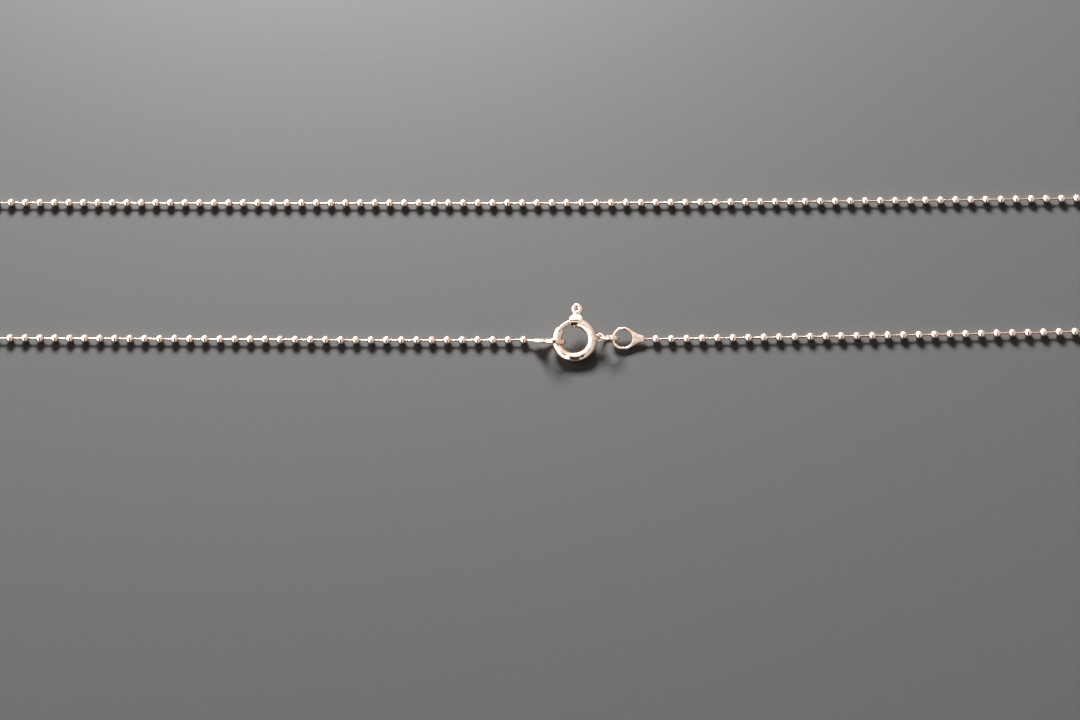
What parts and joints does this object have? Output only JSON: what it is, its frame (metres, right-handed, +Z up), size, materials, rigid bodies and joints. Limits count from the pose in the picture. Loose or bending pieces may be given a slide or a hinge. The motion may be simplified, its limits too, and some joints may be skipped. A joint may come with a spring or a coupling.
{
  "type": "ball chain necklace",
  "caption": "Rose gold ball chain necklace with a spring-ring clasp, laid flat as a long closed loop.",
  "frame": {"origin": "middle of the lying loop, on the surface that it lies on", "axes": "+X along the two runs, to the right in the picture; +Y from the run with the clasp to the plain run; +Z up"},
  "size_m": [0.2138, 0.0262, 0.0033],
  "materials": {
    "chain_rose_gold": "polished rose gold plate",
    "connector_rose_gold": "polished rose gold plate",
    "clasp_rose_gold": "polished rose gold plate",
    "bolt_rose_gold": "polished rose gold plate"
  },
  "bodies": {
    "necklace": {"ball_chain_right": "chain_rose_gold", "ball_chain_left": "chain_rose_gold", "right_end_connector": "connector_rose_gold", "left_end_connector": "connector_rose_gold", "jump_ring": "connector_rose_gold", "clasp_ring": "clasp_rose_gold"},
    "bolt": {"clasp_bolt": "bolt_rose_gold"}
  },
  "joints": [
    {"name": "bolt_slide", "type": "hinge", "parent": "necklace", "child": "bolt", "pos_m": [0.00366, -0.0103, 0.00144], "axis": [0, 0.342, -0.9397], "range_deg": [0, 43], "stiffness_Nm_per_rad": 0.003, "springref_deg": -28.65}
  ]
}
